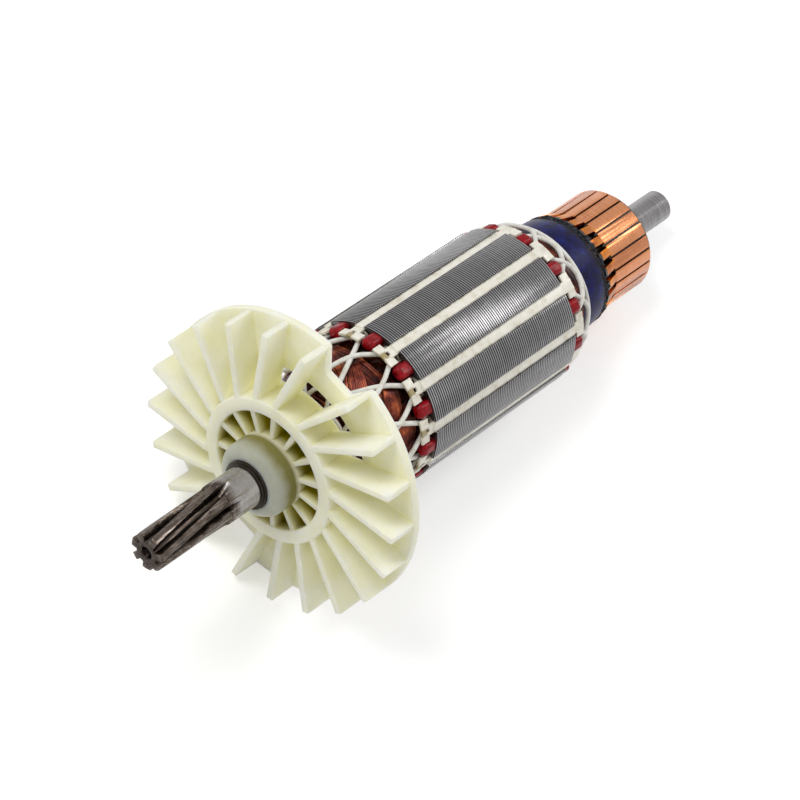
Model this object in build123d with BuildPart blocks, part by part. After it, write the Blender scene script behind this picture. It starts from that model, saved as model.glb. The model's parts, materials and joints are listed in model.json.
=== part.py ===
from build123d import *
from math import acos, asin, atan2, cos, degrees, pi, radians, sin, sqrt, tan
import os

# Motor armature, in millimetres. Stations run along the shaft, from 0 at the stack's front face
# to the rear, where the commutator is. The part lies as it comes to rest on a table: on the two
# corners of one fan notch and on the rear edge of the commutator.

# Shaft
shaft_body_diameter = 12.0
front_seat_diameter = 10.0
rear_seat_diameter = 8.0
rear_seat_length = 20.0
shoulder_length = 1.1
shoulder_step = 0.45
tip_station = -73.5
seat_chamfer = 0.6
centre_hole_diameter = 3.4
centre_hole_angle = 60.0

# Pinion cut into the shaft
pinion_teeth = 7
pinion_diameter = 9.4
pinion_root_diameter = 5.6
pinion_length = 22.5
pinion_run_out = 3.4
pinion_twist = -1.75
pinion_tooth_top = 1.45
pinion_root_gap = 0.9
pinion_flank_share = 0.4
pinion_turn = 1.0
pinion_tip_chamfer = 0.5
groove_sections = 6
groove_overshoot = 1.0
groove_flare = 0.5

# Fan
fan_diameter = 73.0
fan_back_station = -25.2
fan_shroud_thickness = 1.9
fan_depth = 9.3
fan_hub_diameter = 18.6
fan_hub_projection = 3.9
fan_nose_diameter = 13.8
fan_nose_length = 2.6
fan_nose_bulge = 0.3
fan_ring_diameter = 36.6
fan_ring_wall = 3.4
fan_ring_round = 0.4
fan_floor_thickness = 1.6
fan_opening_diameter = 47.4
fan_rib_count = 15
fan_rib_start = 2.5
fan_rib_hub_width = 0.9
fan_rib_ring_width = 1.5
fan_rib_drop = 0.3
fan_blades_per_half = 10
fan_blade_pitch = 17.5
fan_blade_start = 11.25
fan_blade_lean = 6.4
fan_blade_thickness = 1.5
fan_blade_inset = 0.4
fan_tip_round = 0.45
fan_notch_mouth = 13.6
fan_notch_floor = 7.0
fan_notch_floor_radius = 29.4
fan_notch_corner = 1.2

# Lamination stack
stack_diameter = 41.0
stack_length = 50.6
slot_count = 12
slot_opening = 2.8
slot_lip = 1.15
slot_bottom_diameter = 22.4
tooth_width = 4.5
slot_floor_corner = 0.9
tooth_tip_land = 0.75
stack_turn = 24.0

# Insulation
tube_wall = 2.0
tube_front_reach = 22.0
tube_rear_reach = 16.0
end_insulator_thickness = 1.0
end_insulator_diameter = 36.4
lug_width = 3.4
lug_height = 2.8
lug_reach = 3.8
lug_edge_gap = 0.2
lug_round = 1.1
liner_thickness = 0.3
wedge_recess = 0.4
wedge_foot_height = 0.5
wedge_reach = 4.0
flap_span = 6.0
flap_length = 2.4
flap_thickness = 0.55
flap_drop = 0.4
flap_droop = 0.25
flap_window = 1.0
flap_window_share = 0.6

# Winding
head_bore_gap = 0.2
front_head_length = 18.0
front_head_straight = 3.6
front_head_crown_distance = 7.2
front_head_round_distance = 10.8
front_head_round_drop = 0.9
front_head_bend_distance = 15.3
front_head_shoulder_radius = 17.2
front_head_crown_radius = 17.7
front_head_nose_radius = 12.6
rear_head_length = 9.8
rear_head_straight = 5.4
rear_head_shoulder_radius = 17.2
rear_head_nose_radius = 15.2
lead_cone_length = 8.1
lead_cone_radius = 13.4

# Lacing cord: its distances are from a stack face, and its lifts are above the winding heads
cord_diameter = 1.15
cord_slot_half_angle = 4.0
cord_nose_half_angle = 5.0
front_cord_slot_distance = 1.7
front_cord_crossing_distance = 8.6
front_cord_nose_distance = 16.2
rear_cord_slot_distance = 2.9
rear_cord_crossing_distance = 6.4
rear_cord_nose_distance = 8.7
rear_cord_ring_distance = 10.3
cord_slot_lift = 0.08
cord_under_lift = 0.5
cord_over_lift = 1.0
cord_nose_lift = 0.65
cord_ring_lift = 0.1
run_share = 0.45

# Lead wrap
wrap_thickness = 0.9
wrap_bulge = 0.35

# Commutator
bar_count = 24
bar_surface_diameter = 26.4
bar_surface_length = 13.7
bar_gap = 0.55
bar_depth = 3.4
bar_edge_chamfer = 0.3
hook_length = 4.6
hook_width = 2.0
hook_rise = 1.2
hook_thickness = 1.1
web_undercut = 0.8
core_rear_flange = 0.7
core_front_reach = 1.4

# Clearance between pieces that are pressed, wound or slid together
fit = 0.05

# Radii
shaft_body_radius = shaft_body_diameter / 2
front_seat_radius = front_seat_diameter / 2
rear_seat_radius = rear_seat_diameter / 2
pinion_radius = pinion_diameter / 2
pinion_root_radius = pinion_root_diameter / 2
fan_radius = fan_diameter / 2
stack_radius = stack_diameter / 2
tube_radius = shaft_body_radius + fit + tube_wall
bar_radius = bar_surface_diameter / 2

# Stations
fan_front = fan_back_station - fan_depth
hub_edge = fan_front - fan_hub_projection
hub_front = hub_edge - fan_nose_length
shoulder_front = hub_front - shoulder_length
shoulder_middle = hub_front - shoulder_length / 2
pinion_end = tip_station + pinion_length
insulator_front = -end_insulator_thickness
insulator_rear = stack_length + end_insulator_thickness
front_head_start = insulator_front - fit
front_head_end = front_head_start - front_head_length
rear_head_start = insulator_rear + fit
rear_head_end = rear_head_start + rear_head_length
lead_cone_end = rear_head_end + lead_cone_length
core_front = lead_cone_end + fit
hook_front = core_front + core_front_reach
bar_front = hook_front + hook_length
bar_rear = bar_front + bar_surface_length
core_rear = bar_rear + core_rear_flange
shaft_end = core_rear + rear_seat_length

# Resting place: the rounded notch corners and the rear edge of the bars touch the table
mouth_radius = sqrt(fan_radius**2 - (fan_notch_mouth / 2) ** 2)
side_angle = atan2(mouth_radius - fan_notch_floor_radius, -(fan_notch_mouth - fan_notch_floor) / 2)
mouth_along_side = mouth_radius * cos(side_angle) + fan_notch_mouth / 2 * sin(side_angle)
corner_radius_at = fan_radius - fan_notch_corner
corner_angle = side_angle - acos((fan_notch_corner + mouth_along_side) / corner_radius_at)
fan_support = corner_radius_at * cos(corner_angle) + fan_notch_corner
bar_support_station = bar_rear - bar_edge_chamfer
rest_tilt = degrees(atan2(fan_support - bar_radius, bar_support_station - fan_back_station))
tilt_sine = sin(radians(rest_tilt))
tilt_cosine = cos(radians(rest_tilt))
axis_height = fan_support * tilt_cosine + fan_back_station * tilt_sine
tip_edge = tip_station * tilt_cosine - (pinion_radius - pinion_tip_chamfer) * tilt_sine
end_edge = (shaft_end - seat_chamfer) * tilt_cosine + rear_seat_radius * tilt_sine
axis_start = -(tip_edge + end_edge) / 2

shaft_line = Plane(
    origin=(axis_start, 0, axis_height),
    x_dir=(tilt_sine, 0, tilt_cosine),
    z_dir=(tilt_cosine, 0, -tilt_sine),
)
shaft_axis = Axis(shaft_line.origin, shaft_line.z_dir)


def across(station, turn=0.0):
    """Plane square to the shaft at a station, its x axis turned from straight up."""
    centre = shaft_line.origin + shaft_line.z_dir * station
    outward = shaft_line.x_dir * cos(radians(turn)) + shaft_line.y_dir * sin(radians(turn))
    return Plane(origin=centre, x_dir=outward, z_dir=shaft_line.z_dir)


def along(turn=0.0):
    """Plane through the shaft's axis: x runs to the rear, y points outward at a turn."""
    outward = across(0, turn)
    return Plane(origin=outward.origin, x_dir=outward.z_dir, z_dir=outward.y_dir)


def polar(radius, angle):
    """Point in a cross plane, from its distance to the axis and its angle."""
    return (radius * cos(radians(angle)), radius * sin(radians(angle)))


def place(station, radius, turn):
    """Point in space at a station, a distance from the axis and a turn."""
    return across(station, turn).from_local_coords(Vector(radius, 0, 0))


def save(builder, name):
    """Label a finished piece and write it as its own file."""
    builder.part.label = name
    export_step(builder.part, f"parts/{name}.step")


os.makedirs("parts", exist_ok=True)


# Shaft: a turned bar with a centre hole in its tip and a helical pinion cut into its front end
centre_hole_depth = centre_hole_diameter / 2 / tan(radians(centre_hole_angle / 2))

with BuildPart() as shaft:
    with BuildSketch(along()):
        with BuildLine():
            Polyline(
                (tip_station + centre_hole_depth, 0),
                (tip_station, centre_hole_diameter / 2),
                (tip_station, pinion_radius - pinion_tip_chamfer),
                (tip_station + pinion_tip_chamfer, pinion_radius),
                (pinion_end, pinion_radius),
                (pinion_end, front_seat_radius),
                (shoulder_front, front_seat_radius),
                (shoulder_front, shaft_body_radius - shoulder_step),
                (shoulder_middle, shaft_body_radius - shoulder_step),
                (shoulder_middle, shaft_body_radius),
                (core_rear, shaft_body_radius),
                (core_rear, rear_seat_radius),
                (shaft_end - seat_chamfer, rear_seat_radius),
                (shaft_end, rear_seat_radius - seat_chamfer),
                (shaft_end, 0),
                close=True,
            )
        make_face()
    revolve(axis=shaft_axis)


def groove_outline(station, turn, lift):
    """Tooth space of the pinion, with convex tooth flanks and a flat root."""
    top = front_seat_radius + groove_overshoot
    pitch_width = 2 * pinion_radius * sin(radians(180 / pinion_teeth))
    half_mouth = (pitch_width - pinion_tooth_top) / 2
    half_root = pinion_root_gap / 2
    middle = (pinion_root_radius + pinion_radius) / 2
    half_middle = half_root + (half_mouth - half_root) * pinion_flank_share
    flare = half_mouth + (top - pinion_radius) * groove_flare
    with BuildSketch(across(station, turn)) as outline:
        with BuildLine():
            Line((pinion_root_radius + lift, -half_root), (pinion_root_radius + lift, half_root))
            ThreePointArc(
                (pinion_root_radius + lift, half_root),
                (middle + lift, half_middle),
                (pinion_radius + lift, half_mouth),
            )
            Line((pinion_radius + lift, half_mouth), (top + lift, flare))
            Line((top + lift, flare), (top + lift, -flare))
            Line((top + lift, -flare), (pinion_radius + lift, -half_mouth))
            ThreePointArc(
                (pinion_radius + lift, -half_mouth),
                (middle + lift, -half_middle),
                (pinion_root_radius + lift, -half_root),
            )
        make_face()
    return outline.sketch


first_groove = pinion_turn + 180 / pinion_teeth
groove_start = tip_station - groove_overshoot
with BuildPart() as groove_cutter:
    for index in range(groove_sections):
        station = groove_start + (pinion_end - groove_start) * index / (groove_sections - 1)
        add(groove_outline(station, first_groove + pinion_twist * (station - tip_station), 0))
    loft()
with BuildPart() as run_out_cutter:
    add(groove_outline(pinion_end, first_groove + pinion_twist * pinion_length, 0))
    run_out_end = pinion_end + pinion_run_out
    run_out_turn = first_groove + pinion_twist * (pinion_length + pinion_run_out)
    add(groove_outline(run_out_end, run_out_turn, front_seat_radius - pinion_root_radius))
    loft()

with BuildPart() as toothed_shaft:
    add(shaft.part)
    for tooth in range(pinion_teeth):
        turn = 360 / pinion_teeth * tooth
        add(groove_cutter.part.rotate(shaft_axis, turn), mode=Mode.SUBTRACT)
        add(run_out_cutter.part.rotate(shaft_axis, turn), mode=Mode.SUBTRACT)
save(toothed_shaft, "shaft")


# Fan: one moulding, with hub, ring and ribs between them, leaning blades and a shroud with two notches
hub_radius = fan_hub_diameter / 2
nose_radius = fan_nose_diameter / 2
ring_radius = fan_ring_diameter / 2
ring_inner = ring_radius - fan_ring_wall
ring_middle = ring_radius - fan_ring_wall / 2
opening_radius = fan_opening_diameter / 2
shroud_front = fan_back_station - fan_shroud_thickness
floor_front = fan_back_station - fan_floor_thickness
blade_back = shroud_front + fan_blade_inset
fan_bore_radius = shaft_body_radius + fit
blade_outer = sqrt(fan_radius**2 - (fan_blade_lean + fan_blade_thickness / 2) ** 2)
blade_inner = sqrt(ring_middle**2 - fan_blade_lean**2)
lean_angle = degrees(asin(fan_blade_lean / fan_radius))
nose_bend = ((hub_front + hub_edge) / 2 - fan_nose_bulge, (nose_radius + hub_radius) / 2 + fan_nose_bulge)

with BuildSketch() as rib:
    with BuildLine():
        Polyline(
            (nose_radius, fan_rib_hub_width / 2),
            (hub_radius, fan_rib_hub_width / 2),
            (ring_middle, fan_rib_ring_width / 2),
            (ring_middle, -fan_rib_ring_width / 2),
            (hub_radius, -fan_rib_hub_width / 2),
            (nose_radius, -fan_rib_hub_width / 2),
            close=True,
        )
    make_face()

with BuildPart() as fan:
    with BuildSketch(along()) as section:
        with BuildLine():
            ThreePointArc((hub_front, nose_radius), nose_bend, (hub_edge, hub_radius))
            Polyline(
                (hub_edge, hub_radius),
                (floor_front, hub_radius),
                (floor_front, ring_inner),
                (fan_front, ring_inner),
                (fan_front, ring_radius),
                (fan_back_station, ring_radius),
                (fan_back_station, fan_bore_radius),
                (hub_front, fan_bore_radius),
                (hub_front, nose_radius),
            )
        make_face()
        ring_corners = section.vertices().filter_by(lambda corner: corner.Y > ring_inner - fit)
        fillet(ring_corners.sort_by(Axis.X)[:2], fan_ring_round)
    revolve(axis=shaft_axis)
    with BuildSketch(across(fan_front + fan_rib_drop)):
        with PolarLocations(0, fan_rib_count, start_angle=fan_rib_start):
            add(rib.sketch)
    extrude(amount=floor_front - fan_front)
    with BuildSketch(across(shroud_front)) as shroud:
        Circle(fan_radius)
        Circle(opening_radius, mode=Mode.SUBTRACT)
        for side in (1, -1):
            with BuildLine():
                Polyline(
                    (side * fan_notch_floor_radius, fan_notch_floor / 2),
                    (side * mouth_radius, fan_notch_mouth / 2),
                    (side * (fan_radius + 1), fan_notch_mouth / 2),
                    (side * (fan_radius + 1), -fan_notch_mouth / 2),
                    (side * mouth_radius, -fan_notch_mouth / 2),
                    (side * fan_notch_floor_radius, -fan_notch_floor / 2),
                    close=True,
                )
            make_face(mode=Mode.SUBTRACT)
        rim_corners = shroud.vertices().filter_by(lambda corner: corner.X**2 + corner.Y**2 > mouth_radius**2)
        fillet(rim_corners, fan_notch_corner)
    extrude(amount=fan_shroud_thickness)
    for half in (0, 180):
        for step in range(fan_blades_per_half):
            turn = half + fan_blade_start + fan_blade_pitch * step + lean_angle
            with BuildSketch(along(turn).offset(-fan_blade_lean)) as blade:
                with BuildLine():
                    Polyline(
                        (blade_back, blade_inner),
                        (fan_front + fan_ring_round, blade_inner),
                        (fan_front, ring_radius),
                        (fan_front, blade_outer),
                        (blade_back, blade_outer),
                        close=True,
                    )
                make_face()
                tip = blade.vertices().sort_by(Axis.Y)[-2:].sort_by(Axis.X)[0]
                fillet(tip, fan_tip_round)
            extrude(amount=fan_blade_thickness / 2, both=True)
save(fan, "fan")


# Slot outline of the stack: a narrow mouth, slanted lips, straight walls along the teeth, a round floor
slot_pitch = 360 / slot_count
half_opening = slot_opening / 2
slot_floor_radius = slot_bottom_diameter / 2


def wall_point(distance):
    """Point on the slot's wall, beside the tooth, at a distance along the tooth's centre line."""
    half_pitch = radians(slot_pitch / 2)
    return (
        distance * cos(half_pitch) + tooth_width / 2 * sin(half_pitch),
        distance * sin(half_pitch) - tooth_width / 2 * cos(half_pitch),
    )


lip_corner = wall_point(stack_radius - slot_lip - tooth_tip_land)
floor_corner = wall_point(slot_floor_radius + slot_floor_corner)
lip_radius = stack_radius - slot_lip


def slot_body():
    """Wide part of a slot, below its lips."""
    with BuildSketch() as outline:
        with BuildLine():
            Line(floor_corner, lip_corner)
            Line(lip_corner, (lip_radius, half_opening))
            Line((lip_radius, half_opening), (lip_radius, -half_opening))
            Line((lip_radius, -half_opening), (lip_corner[0], -lip_corner[1]))
            Line((lip_corner[0], -lip_corner[1]), (floor_corner[0], -floor_corner[1]))
            ThreePointArc((floor_corner[0], -floor_corner[1]), (slot_floor_radius, 0), floor_corner)
        make_face()
    return outline.sketch


def slot_body_inset(inset, top):
    """Wide part of a slot drawn in by a clearance, and cut off at a height."""
    with BuildSketch() as outline:
        add(slot_body())
        offset(amount=-inset, kind=Kind.INTERSECTION)
        with Locations((top + stack_radius, 0)):
            Rectangle(2 * stack_radius, 2 * stack_radius, mode=Mode.SUBTRACT)
    return outline.sketch


def slot_ring(radius):
    """Every slot of a stamping, out through its edge, for a sheet of a radius."""
    with BuildSketch() as outline:
        with PolarLocations(0, slot_count, start_angle=stack_turn):
            add(slot_body())
            with Locations((radius, 0)):
                Rectangle(2 * (radius - lip_radius) + 1, slot_opening)
    return outline.sketch


# Insulation tube, pressed on the shaft under the stack
with BuildPart() as tube:
    with BuildSketch(across(-tube_front_reach)):
        Circle(tube_radius)
        Circle(shaft_body_radius + fit, mode=Mode.SUBTRACT)
    extrude(amount=tube_front_reach + stack_length + tube_rear_reach)
save(tube, "insulation_tube")

# Lamination stack: sheets stamped with twelve slots, pressed on the tube
bore_radius = tube_radius + fit
with BuildPart() as stack:
    with BuildSketch(across(0)):
        Circle(stack_radius)
        Circle(bore_radius, mode=Mode.SUBTRACT)
        add(slot_ring(stack_radius), mode=Mode.SUBTRACT)
    extrude(amount=stack_length)
save(stack, "lamination_stack")


# End insulators: a thin stamping on each face of the stack, with a rounded lug on each tooth
def end_insulator(face_station, outward):
    """Spider on one stack face; outward is -1 at the front and 1 at the rear."""
    with BuildPart() as lug:
        with BuildSketch(across(face_station, stack_turn + slot_pitch / 2)):
            with Locations((stack_radius - lug_edge_gap - lug_height / 2, 0)):
                Rectangle(lug_height, lug_width)
        extrude(amount=outward * lug_reach)
        lug_end = lug.faces().sort_by(shaft_axis)[-1 if outward > 0 else 0]
        fillet(lug.edges().filter_by(shaft_axis) + lug_end.edges(), lug_round)
    with BuildPart() as spider:
        with BuildSketch(across(face_station)):
            Circle(end_insulator_diameter / 2)
            Circle(bore_radius, mode=Mode.SUBTRACT)
            add(slot_ring(stack_radius), mode=Mode.SUBTRACT)
        extrude(amount=outward * end_insulator_thickness)
        for tooth in range(slot_count):
            add(lug.part.rotate(shaft_axis, slot_pitch * tooth))
    return spider


front_insulator = end_insulator(0, -1)
save(front_insulator, "front_end_insulator")
rear_insulator = end_insulator(stack_length, 1)
save(rear_insulator, "rear_end_insulator")

# Slot liners and wedges
liner_inset = fit + liner_thickness
wedge_top = stack_radius - wedge_recess
wedge_foot_top = lip_corner[0] - fit
wedge_foot_bottom = wedge_foot_top - wedge_foot_height
wedge_half_foot = lip_corner[1] - liner_inset - 2 * fit
wedge_half_stem = half_opening - fit
flap_top = wedge_top - flap_drop

for slot in range(slot_count):
    turn = stack_turn + slot_pitch * slot
    number = f"{slot + 1:02d}"
    with BuildPart() as liner:
        with BuildSketch(across(insulator_front, turn)):
            add(slot_body_inset(fit, wedge_foot_bottom - fit))
            add(slot_body_inset(liner_inset, stack_radius), mode=Mode.SUBTRACT)
        extrude(amount=insulator_rear - insulator_front)
    save(liner, f"slot_liner_{number}")
    with BuildPart() as wedge:
        with BuildSketch(across(0, turn)):
            with BuildLine():
                Polyline(
                    (wedge_foot_bottom, wedge_half_foot),
                    (wedge_foot_top, wedge_half_foot),
                    (lip_radius - 2 * fit, wedge_half_stem),
                    (wedge_top, wedge_half_stem),
                    (wedge_top, -wedge_half_stem),
                    (lip_radius - 2 * fit, -wedge_half_stem),
                    (wedge_foot_top, -wedge_half_foot),
                    (wedge_foot_bottom, -wedge_half_foot),
                    close=True,
                )
            make_face()
        extrude(amount=stack_length)
        for start, reach in ((0, -wedge_reach), (stack_length, wedge_reach)):
            with BuildSketch(across(start, turn)):
                with Locations((flap_top - flap_thickness / 2, 0)):
                    Rectangle(flap_thickness, 2 * wedge_half_stem)
            extrude(amount=reach)
            with BuildSketch(across(start + reach, turn)):
                with BuildLine():
                    Polyline(
                        (flap_top, 0),
                        (flap_top - flap_droop, flap_span / 2),
                        (flap_top - flap_droop - flap_thickness, flap_span / 2),
                        (flap_top - flap_thickness, 0),
                        (flap_top - flap_droop - flap_thickness, -flap_span / 2),
                        (flap_top - flap_droop, -flap_span / 2),
                        close=True,
                    )
                make_face()
            extrude(amount=-reach / wedge_reach * flap_length)
        with BuildSketch(across(-wedge_reach + flap_length * flap_window_share, turn)):
            with Locations((flap_top - flap_thickness / 2, 0)):
                Rectangle(2 * flap_thickness, flap_window)
        extrude(amount=flap_window, mode=Mode.SUBTRACT)
    save(wedge, f"slot_wedge_{number}")

# Winding: one mass of enamelled wire, with a bundle in each slot, two heads and the cone of leads
head_bore = tube_radius + head_bore_gap
bundle_top = wedge_foot_bottom - 2 * fit
front_head_bend_radius = (front_head_crown_radius + front_head_nose_radius) / 2
front_head_outline = (
    (front_head_start, front_head_shoulder_radius),
    (front_head_start - front_head_straight, front_head_shoulder_radius),
    (front_head_start - front_head_crown_distance, front_head_crown_radius),
    (front_head_start - front_head_round_distance, front_head_crown_radius - front_head_round_drop),
    (front_head_start - front_head_bend_distance, front_head_bend_radius),
    (front_head_end, front_head_nose_radius),
)
rear_head_outline = (
    (rear_head_start, rear_head_shoulder_radius),
    (rear_head_start + rear_head_straight, rear_head_shoulder_radius),
    (rear_head_end, rear_head_nose_radius),
)
with BuildPart() as winding:
    with BuildSketch(along()):
        with BuildLine():
            Polyline(
                (front_head_start, head_bore),
                *front_head_outline,
                (front_head_end, head_bore),
                close=True,
            )
        make_face()
    revolve(axis=shaft_axis)
    with BuildSketch(along()):
        with BuildLine():
            Polyline(
                (rear_head_start, head_bore),
                *rear_head_outline,
                (rear_head_end, lead_cone_radius),
                (lead_cone_end, lead_cone_radius),
                (lead_cone_end, head_bore),
                close=True,
            )
        make_face()
    revolve(axis=shaft_axis)
    with BuildSketch(across(front_head_start)):
        with PolarLocations(0, slot_count, start_angle=stack_turn):
            add(slot_body_inset(liner_inset + fit, bundle_top))
    extrude(amount=rear_head_start - front_head_start)
save(winding, "winding")


# Lacing: closed loops of cord that go from slot to slot over a winding head and cross on the way
def spot(outline, station, turn, lift):
    """Point where the cord's centre passes over a winding head."""
    for (start, start_radius), (end, end_radius) in zip(outline, outline[1:]):
        if min(start, end) <= station <= max(start, end):
            share = (station - start) / (end - start)
            surface = start_radius + (end_radius - start_radius) * share
    return place(station, surface + cord_diameter / 2 + lift, turn)


def lace(outline, slot_station, crossing_station, nose_station, first_turn, crossing_lift):
    """Zigzag loop of cord, through every second slot of the stack."""
    points = []
    for step in range(slot_count // 2):
        turn = first_turn + 2 * slot_pitch * step
        points.append(spot(outline, slot_station, turn - cord_slot_half_angle, cord_slot_lift))
        points.append(spot(outline, slot_station, turn + cord_slot_half_angle, cord_slot_lift))
        points.append(spot(outline, crossing_station, turn + slot_pitch / 2, crossing_lift))
        points.append(spot(outline, nose_station, turn + slot_pitch - cord_nose_half_angle, cord_nose_lift))
        points.append(spot(outline, nose_station, turn + slot_pitch + cord_nose_half_angle, cord_nose_lift))
        points.append(spot(outline, crossing_station, turn + slot_pitch * 1.5, crossing_lift))
    radii = []
    for index, point in enumerate(points):
        back = points[index - 1] - point
        ahead = points[(index + 1) % len(points)] - point
        half_turn = radians(180 - back.get_angle(ahead)) / 2
        radii.append(run_share * min(back.length, ahead.length) / tan(half_turn))
    print("cord radii", [round(radius, 1) for radius in radii[:6]])
    with BuildPart() as loop:
        with BuildLine():
            route = FilletPolyline(*points, radius=radii, close=True)
        with BuildSketch(Plane(origin=route @ 0, z_dir=route % 0)):
            Circle(cord_diameter / 2)
        sweep(path=route)
    section = pi * (cord_diameter / 2) ** 2
    print("cord volume", round(loop.part.volume, 1), "section times length", round(section * route.length, 1))
    return loop.part


with BuildPart() as front_lacing:
    for first_turn, crossing_lift in ((stack_turn, cord_under_lift), (stack_turn + slot_pitch, cord_over_lift)):
        add(
            lace(
                front_head_outline,
                -front_cord_slot_distance,
                -front_cord_crossing_distance,
                -front_cord_nose_distance,
                first_turn,
                crossing_lift,
            )
        )
save(front_lacing, "front_lacing")

with BuildPart() as rear_lacing:
    for first_turn, crossing_lift in ((stack_turn, cord_under_lift), (stack_turn + slot_pitch, cord_over_lift)):
        add(
            lace(
                rear_head_outline,
                stack_length + rear_cord_slot_distance,
                stack_length + rear_cord_crossing_distance,
                stack_length + rear_cord_nose_distance,
                first_turn,
                crossing_lift,
            )
        )
    ring_start = spot(rear_head_outline, stack_length + rear_cord_ring_distance, 0, cord_ring_lift)
    with BuildSketch(Plane(origin=ring_start, x_dir=shaft_line.z_dir, z_dir=shaft_line.y_dir)):
        Circle(cord_diameter / 2)
    revolve(axis=shaft_axis)
save(rear_lacing, "rear_lacing")

# Lead wrap: band of tape round the cone of leads
wrap_inner = lead_cone_radius + fit
wrap_front = rear_head_end + fit
with BuildPart() as wrap:
    with BuildSketch(along()):
        with BuildLine():
            middle = (wrap_front + lead_cone_end) / 2
            outer = wrap_inner + wrap_thickness
            Line((wrap_front, wrap_inner), (wrap_front, outer))
            ThreePointArc((wrap_front, outer), (middle, outer + wrap_bulge), (lead_cone_end, outer))
            Line((lead_cone_end, outer), (lead_cone_end, wrap_inner))
            Line((lead_cone_end, wrap_inner), (wrap_front, wrap_inner))
        make_face()
    revolve(axis=shaft_axis)
save(wrap, "lead_wrap")


# Commutator: copper bars in a moulded core, with a web of the moulding between each two bars
bar_inner = bar_radius - bar_depth
hook_seat = bar_radius - hook_thickness - hook_rise
bar_pitch = 360 / bar_count


def bar_section(outer, inner):
    """Cross section of one bar: a sector with sides parallel to the gaps beside it."""
    edge_angles = []
    for radius in (outer, inner):
        edge_angles.append(bar_pitch / 2 - degrees(asin(bar_gap / 2 / radius)))
    outer_angle, inner_angle = edge_angles
    with BuildSketch() as section:
        with BuildLine():
            Line(polar(inner, -inner_angle), polar(outer, -outer_angle))
            ThreePointArc(polar(outer, -outer_angle), (outer, 0), polar(outer, outer_angle))
            Line(polar(outer, outer_angle), polar(inner, inner_angle))
            ThreePointArc(polar(inner, inner_angle), (inner, 0), polar(inner, -inner_angle))
        make_face()
    return section.sketch


with BuildPart() as core:
    with BuildSketch(along()):
        with BuildLine():
            bore = shaft_body_radius + fit
            Polyline(
                (core_front, bore),
                (core_front, hook_seat - fit),
                (bar_front, hook_seat - fit),
                (bar_front, bar_radius - web_undercut),
                (core_rear, bar_radius - web_undercut),
                (core_rear, bore),
                close=True,
            )
        make_face()
    revolve(axis=shaft_axis)
    with BuildSketch(across(bar_front)):
        with PolarLocations(0, bar_count, start_angle=stack_turn):
            add(bar_section(bar_radius, bar_inner))
    extrude(amount=bar_surface_length, mode=Mode.SUBTRACT)
save(core, "commutator_core")

for index in range(bar_count):
    turn = stack_turn + bar_pitch * index
    number = f"{index + 1:02d}"
    with BuildPart() as bar:
        with BuildSketch(across(bar_front, turn)):
            add(bar_section(bar_radius, bar_inner))
        extrude(amount=bar_surface_length)
        rear_edge = bar.edges().filter_by(GeomType.CIRCLE)
        rear_edge = rear_edge.sort_by(shaft_axis)[-2:].sort_by_distance(across(0).origin)[-1]
        chamfer(rear_edge, bar_edge_chamfer)
        with BuildSketch(along(turn)):
            with BuildLine():
                Polyline(
                    (bar_front, hook_seat),
                    (hook_front, hook_seat),
                    (hook_front, bar_radius + hook_rise),
                    (bar_front, bar_radius),
                    close=True,
                )
            make_face()
        extrude(amount=hook_width / 2, both=True)
    save(bar, f"commutator_bar_{number}")
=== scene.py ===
import bmesh
import bpy
import json
import math
import random
from mathutils import Matrix, Vector, noise


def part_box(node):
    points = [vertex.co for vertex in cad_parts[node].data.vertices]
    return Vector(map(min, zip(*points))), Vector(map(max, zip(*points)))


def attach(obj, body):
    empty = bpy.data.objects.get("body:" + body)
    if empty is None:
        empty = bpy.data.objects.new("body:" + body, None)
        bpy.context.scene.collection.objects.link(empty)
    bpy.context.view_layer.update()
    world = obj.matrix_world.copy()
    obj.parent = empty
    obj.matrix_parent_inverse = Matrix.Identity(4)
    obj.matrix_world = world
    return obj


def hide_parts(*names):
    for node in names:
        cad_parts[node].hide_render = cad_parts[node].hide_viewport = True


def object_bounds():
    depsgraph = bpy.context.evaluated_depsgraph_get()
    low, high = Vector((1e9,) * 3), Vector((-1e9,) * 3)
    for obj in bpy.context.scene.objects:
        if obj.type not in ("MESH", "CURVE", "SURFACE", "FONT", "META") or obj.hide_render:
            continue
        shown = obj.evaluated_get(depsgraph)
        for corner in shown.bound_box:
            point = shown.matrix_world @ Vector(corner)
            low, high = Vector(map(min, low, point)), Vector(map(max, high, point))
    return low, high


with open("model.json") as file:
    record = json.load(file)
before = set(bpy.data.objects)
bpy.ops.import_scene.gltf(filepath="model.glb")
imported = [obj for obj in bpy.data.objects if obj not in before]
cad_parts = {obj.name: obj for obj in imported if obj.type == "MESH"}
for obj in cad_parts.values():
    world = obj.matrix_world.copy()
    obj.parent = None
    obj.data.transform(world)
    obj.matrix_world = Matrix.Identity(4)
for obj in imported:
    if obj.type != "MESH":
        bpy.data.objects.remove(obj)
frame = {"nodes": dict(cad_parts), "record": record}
cad_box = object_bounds()
nodes = frame["nodes"]
mounts = {mount["name"]: mount for mount in frame["record"]["mounts"]}

MM = 0.001

# The shaft's line, read from the frame. A station is a distance along it in mm, from the stack's front
# face towards the commutator. A turn is an angle round it in degrees, from straight up.
STACK_LENGTH = 50.6
REAR = Vector(mounts["rear_bearing_seat"]["axis"]).normalized()
SIDE = Vector((0, -1, 0))
UP = SIDE.cross(REAR)
stack_low, stack_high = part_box("lamination_stack")
ORIGIN = (stack_low + stack_high) / 2 - REAR * (STACK_LENGTH / 2 * MM)
SHAFT_FRAME = Matrix((UP, SIDE, REAR)).transposed()

# Stations of the CAD pieces
SHAFT_TIP = -73.5
TEETH_END = -47.6
SHOULDER = -42.1
HUB_EDGE = -38.4
FAN_FRONT = -34.5
WRAP_FRONT = 61.5
WRAP_REAR = 69.55
HOOK_FRONT = 71.0
BAR_FRONT = 75.6

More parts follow.
